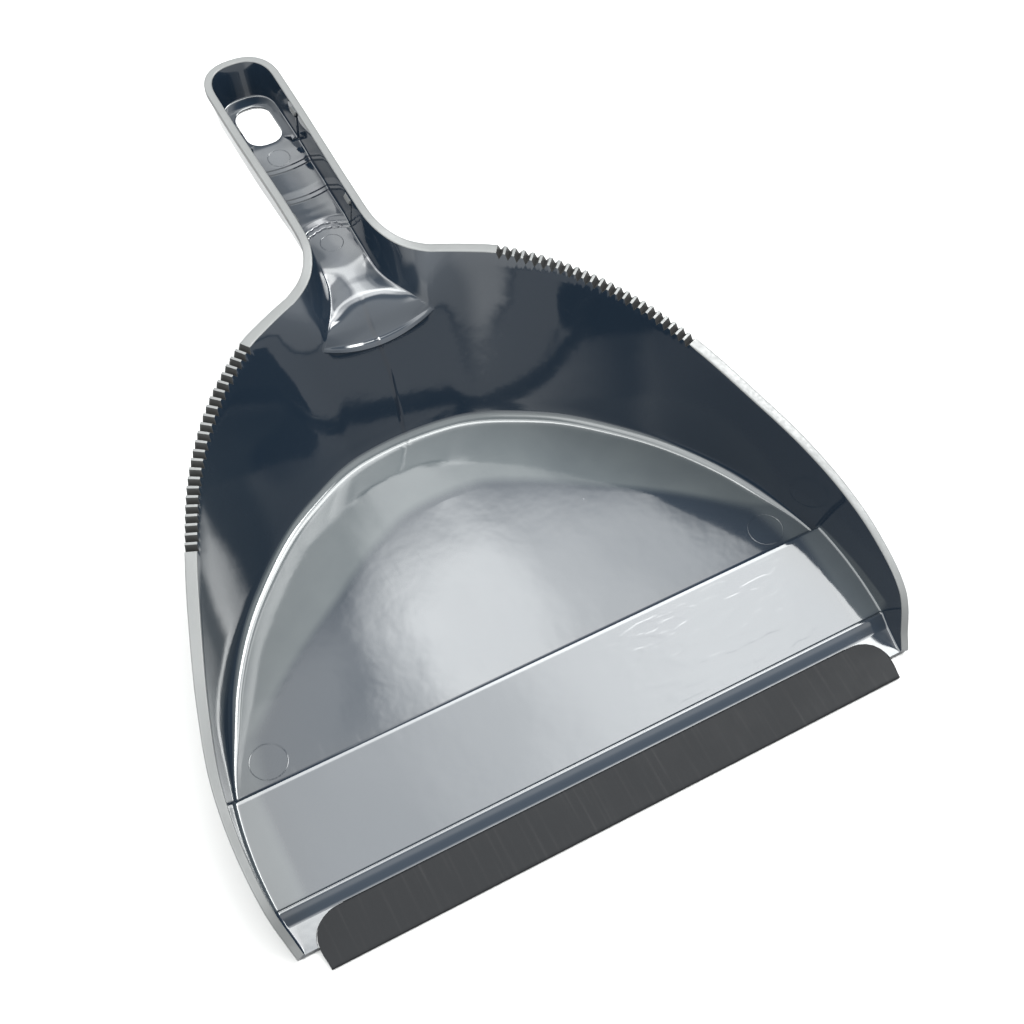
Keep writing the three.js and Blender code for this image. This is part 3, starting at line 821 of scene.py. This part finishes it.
def clip_slits():
    """Thin solids to cut out beside each clip: a slit down the wall, and an L in the channel floor."""
    patches = Patches()
    for y0, wall_x, inner_x, floor_z, leg in CLIP_SLITS:
        y1 = y0 + SLIT_WIDTH
        leg_x, outer_x = inner_x + LEG_WIDTH, wall_x - 0.1
        leg_y = y0 + leg
        corner = ((inner_x, y0), (outer_x, y0), (outer_x, y1), (leg_x, y1), (leg_x, leg_y), (inner_x, leg_y))
        left, right, near, far = wall_x - 0.2, wall_x + 1.6, y0 + 0.02, y1 - 0.02
        slit = ((left, near), (right, near), (right, far), (left, far))
        for outline, bottom, top in ((slit, floor_z - 0.5, SLIT_TOP_Z), (corner, floor_z - 1.2, floor_z + 2)):
            low = [np.array((x, y, bottom)) for x, y in outline]
            high = [np.array((x, y, top)) for x, y in outline]
            patches.grid([low, high], close=True)
            patches.polygon(low)
            patches.polygon(high)
    return make_mesh("clip_slits", patches)


def cut(target, cutter):
    """Takes the cutter's solid away from the target's mesh for good."""
    modifier = target.modifiers.new("cut", "BOOLEAN")
    modifier.operation = "DIFFERENCE"
    modifier.solver = "EXACT"
    modifier.use_self = True
    modifier.object = cutter
    result = bpy.data.meshes.new_from_object(target.evaluated_get(bpy.context.evaluated_depsgraph_get()))
    target.modifiers.clear()
    target.data = result
    bpy.data.objects.remove(cutter)


# ---- the rubber lip

def lip_half_width(y):
    """Half width of the lip at a distance from its back edge: rounded back corners, straight sides."""
    corner_y, corner_x, power = 9.5, 11.5, 2.3
    back = LIP_BACK_Y - y
    if back >= corner_y:
        return LIP_HALF + 1.0 - 0.7 * smooth(back, corner_y + 1, LIP_DEPTH)
    t = 1 - back / corner_y
    return LIP_HALF + 1.0 - corner_x * (1 - max(0.0, 1 - min(t, 1.0) ** power) ** (1 / power))


# Side profile of the lip: distance from its back edge, and height.
LIP_TOP = (
    (0.0, 2.3), (0.06, 2.75), (0.25, 3.0), (0.6, 3.08), (1.5, 3.0), (3, 2.85), (5, 2.62), (7, 2.38),
    (9, 2.12), (11, 1.88), (13, 1.62), (14.6, 1.44), (15.2, 1.36), (15.5, 1.2), (LIP_DEPTH, 0.95),
)
LIP_UNDER = ((LIP_DEPTH, 0.3), (15.45, 0.05), (15.0, 0.0), (8.9, 0.0), (8.8, 1.55), (0.3, 1.85))


def build_lip():
    """The rubber strip: a flat tongue with soft edges that droops a little to the ground in front."""
    count = 90
    bunching = math.pi / 2 * 0.985  # packs the rows closer together towards the lip's ends
    rows = []
    for i in range(count + 1):
        u = 2 * i / count - 1
        row = []
        for back, z in LIP_TOP + LIP_UNDER:
            y = LIP_BACK_Y - back
            x = lip_half_width(y) * math.sin(u * bunching) / math.sin(bunching)
            row.append(np.array((x, y, z)))
        rows.append(row)
    patches = Patches()
    patches.grid(rows, close=True)
    patches.polygon(rows[0])
    patches.polygon(rows[-1][::-1])
    return make_mesh("lip_strip", patches, mirror=False, sharp=60)


# ---- materials

class Nodes:
    """Short calls for building a node tree."""

    def __init__(self, tree):
        self.tree = tree

    def add(self, kind, **inputs):
        node = self.tree.nodes.new(kind)
        for key, value in inputs.items():
            socket = node.inputs[key.replace("_", " ")]
            self.put(socket, value)
        return node

    def put(self, socket, value):
        """Links a socket, or sets its value."""
        if isinstance(value, bpy.types.NodeSocket):
            self.tree.links.new(value, socket)
        else:
            socket.default_value = value

    def math(self, operation, a, b=0.0, clamp=False):
        node = self.tree.nodes.new("ShaderNodeMath")
        node.operation = operation
        node.use_clamp = clamp
        self.put(node.inputs[0], a)
        self.put(node.inputs[1], b)
        return node.outputs[0]

    def product(self, *values):
        """Multiplies all the values."""
        result = values[0]
        for value in values[1:]:
            result = self.math("MULTIPLY", result, value)
        return result

    def total(self, *values):
        """Adds all the values."""
        result = values[0]
        for value in values[1:]:
            result = self.math("ADD", result, value)
        return result

    def step(self, value, low, high, to_low=0.0, to_high=1.0):
        """A soft step from to_low at low to to_high at high. low may be the larger one."""
        node = self.tree.nodes.new("ShaderNodeMapRange")
        node.interpolation_type = "SMOOTHSTEP"
        keys = ("Value", "From Min", "From Max", "To Min", "To Max")
        for key, given in zip(keys, (value, low, high, to_low, to_high)):
            self.put(node.inputs[key], given)
        return node.outputs["Result"]

    def band(self, value, start, full, fade, end):
        """1 between full and fade, and 0 before start and after end."""
        return self.product(self.step(value, start, full), self.step(value, end, fade))

    def mix(self, factor, a, b):
        node = self.tree.nodes.new("ShaderNodeMix")
        node.data_type = "RGBA"
        self.put(node.inputs[0], factor)
        self.put(node.inputs[6], a)
        self.put(node.inputs[7], b)
        return node.outputs[2]

    def noise(self, vector, scale, detail=2.0, roughness=0.5):
        node = self.add("ShaderNodeTexNoise", Vector=vector, Scale=scale, Detail=detail, Roughness=roughness)
        return node.outputs["Fac"]

    def stretch(self, vector, scale):
        node = self.tree.nodes.new("ShaderNodeMapping")
        node.inputs["Scale"].default_value = scale
        self.put(node.inputs["Vector"], vector)
        return node.outputs[0]

    def bump(self, height, distance, strength=1.0, normal=None):
        node = self.add("ShaderNodeBump", Strength=strength, Distance=distance, Height=height)
        if normal is not None:
            self.put(node.inputs["Normal"], normal)
        return node.outputs[0]


def start_material(name):
    """A new material with its node helper, its shader and the place on the object in metres."""
    material = bpy.data.materials.new(name)
    material.use_nodes = True
    nodes = Nodes(material.node_tree)
    shader = material.node_tree.nodes["Principled BSDF"]
    place = nodes.add("ShaderNodeTexCoord").outputs["Object"]
    return material, nodes, shader, place


PLASTIC_DARK = (0.0018, 0.0036, 0.0062, 1)
PLASTIC_LIGHT = (0.0034, 0.0054, 0.0084, 1)
WELD = (0.003, 0.004, 0.006, 1)
SPECK = (0.3, 0.31, 0.32, 1)
# Paler tone for the painted reflection along the floor's border and beside the ramp.
PAINTED_REFLECTION_TONE = (0.0190, 0.0220, 0.0235, 1)


def weld_line(n, place, x, y):
    """Mask of the line in the back wall where the melt met, which wanders a little round the middle."""
    wander = n.product(n.math("SUBTRACT", n.noise(place, 30.0, 1.0), 0.5), 0.006)
    off_line = n.math("ABSOLUTE", n.total(x, wander))
    return n.product(n.step(off_line, 0.0012, 0.0002), n.band(y, 0.095, 0.103, 0.122, 0.130))


def dust_specks(n, place):
    """Mask of small round specks, in a few cells of a Voronoi pattern."""
    cells = n.add("ShaderNodeTexVoronoi", Vector=place, Scale=95.0)
    spot = n.step(cells.outputs["Distance"], 0.045, 0.02)
    pick = n.add("ShaderNodeSeparateColor", Color=cells.outputs["Color"]).outputs[0]
    return n.product(spot, n.step(pick, 0.93, 0.95))


def painted_reflection_mask(n, place, x, y, z):
    """Mask of a paler colour low along the wall's foot and beside the ramp: a painted reflection of the walls
    in the glossy floor and ramp, broken up by noise.
    """
    above_base = n.step(z, 0.0013, 0.0016)
    low = n.product(n.step(z, 0.003398, 0.0032), above_base, n.step(y, 0.004, 0.020))
    side = n.math("ABSOLUTE", x)
    across = n.math("POWER", n.math("DIVIDE", side, 0.104), 1.7)
    along = n.math("POWER", n.math("MAXIMUM", n.math("DIVIDE", y, 0.101), 0.0), 1.7)
    near_wall = n.product(
        n.step(n.total(across, along), 0.80, 0.88, 0.0, 0.55),
        n.step(z, 0.0040, 0.0035),
        n.step(y, 0.0027, 0.0032),
        above_base,
    )
    beside = n.product(
        n.step(side, 0.0945, 0.0985, 0.0, 0.6),
        n.band(y, -0.035, -0.032, -0.001, 0.002),
        n.step(z, 0.0095, 0.0082),
    )
    patchy = n.step(n.noise(place, 55.0, 3.0), 0.2, 0.8, 0.75, 1.0)
    return n.product(n.total(n.math("MAXIMUM", low, near_wall), beside), patchy)


def ramp_swirls(n, place, x, y):
    """Height of the faint contour lines on the right of the ramp."""
    ramp = n.product(n.band(y, -0.033, -0.030, -0.003, -0.001), n.band(x, 0.005, 0.035, 0.080, 0.092))
    swirl = n.noise(n.stretch(place, (0.35, 1, 1)), 150.0, 2.5)
    contour = n.step(n.math("ABSOLUTE", n.math("SUBTRACT", swirl, 0.5)), 0.09, 0.0)
    return n.product(contour, ramp)


def plastic_material():
    """Glossy moulded plastic: slow waves from shrinkage, a weld line, swirls, scuffs, dust specks, and a
    painted reflection along the floor's border and beside the ramp.
    """
    material, n, shader, place = start_material("pan_plastic")
    xyz = n.add("ShaderNodeSeparateXYZ", Vector=place)
    x, y, z = (xyz.outputs[k] for k in "XYZ")
    weld = weld_line(n, place, x, y)
    speck = dust_specks(n, place)
    colour = n.mix(n.noise(place, 14.0, 3.0), PLASTIC_DARK, PLASTIC_LIGHT)
    colour = n.mix(n.product(weld, 0.6), colour, WELD)
    colour = n.mix(n.product(speck, 0.05), colour, SPECK)
    # Painted reflection: a paler colour laid low along the wall's foot and beside the ramp.
    colour = n.mix(painted_reflection_mask(n, place, x, y, z), colour, PAINTED_REFLECTION_TONE)
    n.put(shader.inputs["Base Color"], colour)
    mottle = n.step(n.noise(place, 40.0, 4.0), 0.3, 0.8, 0.055, 0.10)
    scuffs = n.step(n.noise(n.stretch(place, (1, 0.12, 1)), 420.0, 3.0), 0.62, 0.75, 0.0, 0.05)
    n.put(shader.inputs["Roughness"], n.total(mottle, scuffs, n.product(speck, 0.04)))
    wave = n.bump(n.noise(place, 17.0, 1.0), 0.0011, 0.55)
    wave = n.bump(n.noise(place, 130.0, 2.0), 0.00006, 0.5, wave)
    wave = n.bump(weld, 0.00022, 0.6, wave)
    wave = n.bump(ramp_swirls(n, place, x, y), 0.00004, 0.6, wave)
    n.put(shader.inputs["Normal"], wave)
    shader.inputs["IOR"].default_value = 1.5
    shader.inputs["Specular IOR Level"].default_value = 0.25
    return material


def rim_material(name, dark, light):
    """The same plastic on the flat rim: a paler colour that paints the rim's highlight, duller and finely
    scuffed.
    """
    material, n, shader, place = start_material(name)
    clouds = n.noise(place, 60.0, 4.0, 0.6)
    colour = n.mix(clouds, dark, light)
    n.put(shader.inputs["Base Color"], colour)
    grain = n.noise(place, 900.0, 3.0)
    rough = n.step(grain, 0.3, 0.7, 0.30, 0.42)
    n.put(shader.inputs["Roughness"], rough)
    n.put(shader.inputs["Normal"], n.bump(grain, 0.00004, 0.5))
    shader.inputs["IOR"].default_value = 1.5
    shader.inputs["Specular IOR Level"].default_value = 0.16
    return material


def rubber_material():
    """Soft matt rubber with fine draw lines from front to back and a little dust."""
    material, n, shader, place = start_material("lip_rubber")
    lines = n.noise(n.stretch(place, (1, 0.03, 0.03)), 700.0, 3.0)
    clouds = n.noise(place, 45.0, 4.0, 0.65)
    colour = n.mix(clouds, (0.0020, 0.0022, 0.0026, 1), (0.0044, 0.0046, 0.0050, 1))
    colour = n.mix(n.step(lines, 0.5, 0.8, 0.0, 0.5), colour, (0.0070, 0.0070, 0.0074, 1))
    n.put(shader.inputs["Base Color"], colour)
    n.put(shader.inputs["Roughness"], n.step(clouds, 0.3, 0.7, 0.48, 0.62))
    shader.inputs["Specular IOR Level"].default_value = 0.03
    wave = n.bump(lines, 0.00005, 0.6)
    wave = n.bump(n.noise(place, 260.0, 3.0), 0.0001, 0.5, wave)
    n.put(shader.inputs["Normal"], wave)
    return material


# ---- light, ground, camera

# Brightness of the ceiling behind and in front: the stops are a place along x over the height, and a level.
CEILING_BACK = (
    (0.0, 7.5), (0.10, 7), (0.135, 4.5), (0.175, 17), (0.205, 29), (0.275, 27), (0.34, 18), (0.42, 14),
    (0.47, 4.5),
)
CEILING_FRONT = ((0.0, 13), (0.12, 14.5), (0.19, 19), (0.28, 26), (0.36, 29), (0.50, 27))
CEILING_START, CEILING_SPAN, CEILING_PEAK = -0.1, 0.7, 30
LIGHT_TINT = (0.985, 1.0, 0.99, 1)
GROUND_DARK = (0.150, 0.150, 0.150, 1)
GROUND_LIGHT = (0.155, 0.155, 0.155, 1)


def ceiling(n, gx, stops):
    """Brightness of the ceiling along x from its stops."""
    ramp = n.tree.nodes.new("ShaderNodeValToRGB")
    ramp.color_ramp.interpolation = "EASE"
    while len(ramp.color_ramp.elements) < len(stops):
        ramp.color_ramp.elements.new(0.5)
    for element, (place, level) in zip(ramp.color_ramp.elements, stops):
        element.position = (place - CEILING_START) / CEILING_SPAN
        grey = level / CEILING_PEAK
        element.color = (grey, grey, grey, 1)
    along = n.math("DIVIDE", n.math("SUBTRACT", gx, CEILING_START), CEILING_SPAN, clamp=True)
    n.put(ramp.inputs["Fac"], along)
    return n.product(ramp.outputs["Color"], float(CEILING_PEAK))


def add_world():
    """Soft studio light: a ceiling with dimmer ends, a window on the right, faint fill on the left and in
    front, and a low horizon in front. gx and gy are a direction's x and y over its height."""
    world = bpy.data.worlds.new("studio")
    world.use_nodes = True
    n = Nodes(world.node_tree)
    background = world.node_tree.nodes["Background"]
    direction = n.add("ShaderNodeTexCoord").outputs["Generated"]
    xyz = n.add("ShaderNodeSeparateXYZ", Vector=direction)
    x, y, z = (xyz.outputs[k] for k in "XYZ")
    high = n.math("MAXIMUM", z, 0.05)
    gx, gy = n.math("DIVIDE", x, high), n.math("DIVIDE", y, high)
    back = n.product(ceiling(n, gx, CEILING_BACK), n.step(gy, 0.26, 0.40))
    front = n.product(ceiling(n, gx, CEILING_FRONT), n.step(gy, 0.40, 0.26))
    sides = n.band(gx, -0.45, -0.05, 0.55, 0.85)
    ends = n.product(n.band(gy, -0.10, 0.06, 1.0, 2.2), n.step(gy, 0.52, 0.64, 1.0, 0.34))
    lamp = n.product(n.total(back, front), sides, ends, n.step(z, 0.2, 0.5))
    strip = n.product(n.band(gy, 0.20, 0.27, 0.34, 0.40), sides, 20.0)
    window = n.product(
        n.band(gx, 0.56, 0.66, 0.85, 1.1),
        n.band(gy, -0.35, -0.15, 0.40, 0.55),
        n.step(z, 0.4, 0.6, 0.0, 80.0),
    )
    left_fill = n.product(
        n.step(gx, -0.15, -0.5, 0.0, 13.0),
        n.step(gy, -1.1, -0.5),
        n.step(z, 0.3, 0.6),
    )
    front_fill = n.product(n.step(gy, -0.25, -0.6, 0.0, 4.0), n.step(z, 0.25, 0.45))
    horizon = n.product(
        n.band(z, -0.012, 0.025, 0.28, 0.42),
        n.step(y, -0.35, -0.65, 0.0, 5.0),
        n.step(x, -0.15, -0.45, 0.5, 1.0),
    )
    glow = n.step(z, -0.1, 0.9, 0.3, 2.5)
    n.put(background.inputs["Strength"], n.total(lamp, strip, window, left_fill, front_fill, horizon, glow))
    background.inputs["Color"].default_value = LIGHT_TINT
    bpy.context.scene.world = world


def add_ground():
    """A pale floor just below the pan."""
    mesh = bpy.data.meshes.new("ground")
    size, z = 3.0, -0.0002
    corners = [(-size, -size, z), (size, -size, z), (size, size, z), (-size, size, z)]
    mesh.from_pydata(corners, [], [(0, 1, 2, 3)])
    ground = bpy.data.objects.new("ground", mesh)
    bpy.context.scene.collection.objects.link(ground)
    material, n, shader, place = start_material("ground_white")
    n.put(shader.inputs["Base Color"], n.mix(n.noise(place, 3.0), GROUND_DARK, GROUND_LIGHT))
    shader.inputs["Roughness"].default_value = 0.95
    shader.inputs["Specular IOR Level"].default_value = 0.1
    mesh.materials.append(material)


def add_camera():
    """The photograph's viewpoint, fitted to the pan's symmetry, rim and front edge."""
    data = bpy.data.cameras.new("camera")
    data.sensor_width = 36.0
    data.lens = 50.977
    data.clip_start = 0.01
    data.clip_end = 50.0
    camera = bpy.data.objects.new("camera", data)
    right = Vector((0.88266, -0.46975, 0.01576))
    up = Vector((0.38762, 0.74648, 0.54085))
    turn = Matrix((right, up, right.cross(up))).transposed()
    camera.matrix_world = Matrix.Translation((-0.11195, -0.17457, 0.41326)) @ turn.to_4x4()
    bpy.context.scene.collection.objects.link(camera)
    bpy.context.scene.camera = camera


# ---- the scene

shell, details = build_pan()
lip = build_lip()
finishes = [
    plastic_material(),
    # pan_rim: the flat rim's pale colour is a painted highlight.
    rim_material("pan_rim", (0.031, 0.0320, 0.0323, 1), (0.039, 0.0402, 0.0405, 1)),
    # pan_comb: a darker copy of the rim's finish for the comb's flanks, painted shade in the grooves.
    rim_material("pan_comb", (0.0055, 0.0056, 0.0056, 1), (0.0095, 0.0096, 0.0096, 1)),
]
for piece in (shell, details):
    for finish in finishes:
        piece.data.materials.append(finish)
    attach(piece, "root")
    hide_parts("pan_body")
lip.data.materials.append(rubber_material())
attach(lip, "root")
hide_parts("rubber_lip")
add_world()
add_ground()
add_camera()
bpy.context.scene.view_settings.view_transform = "Standard"
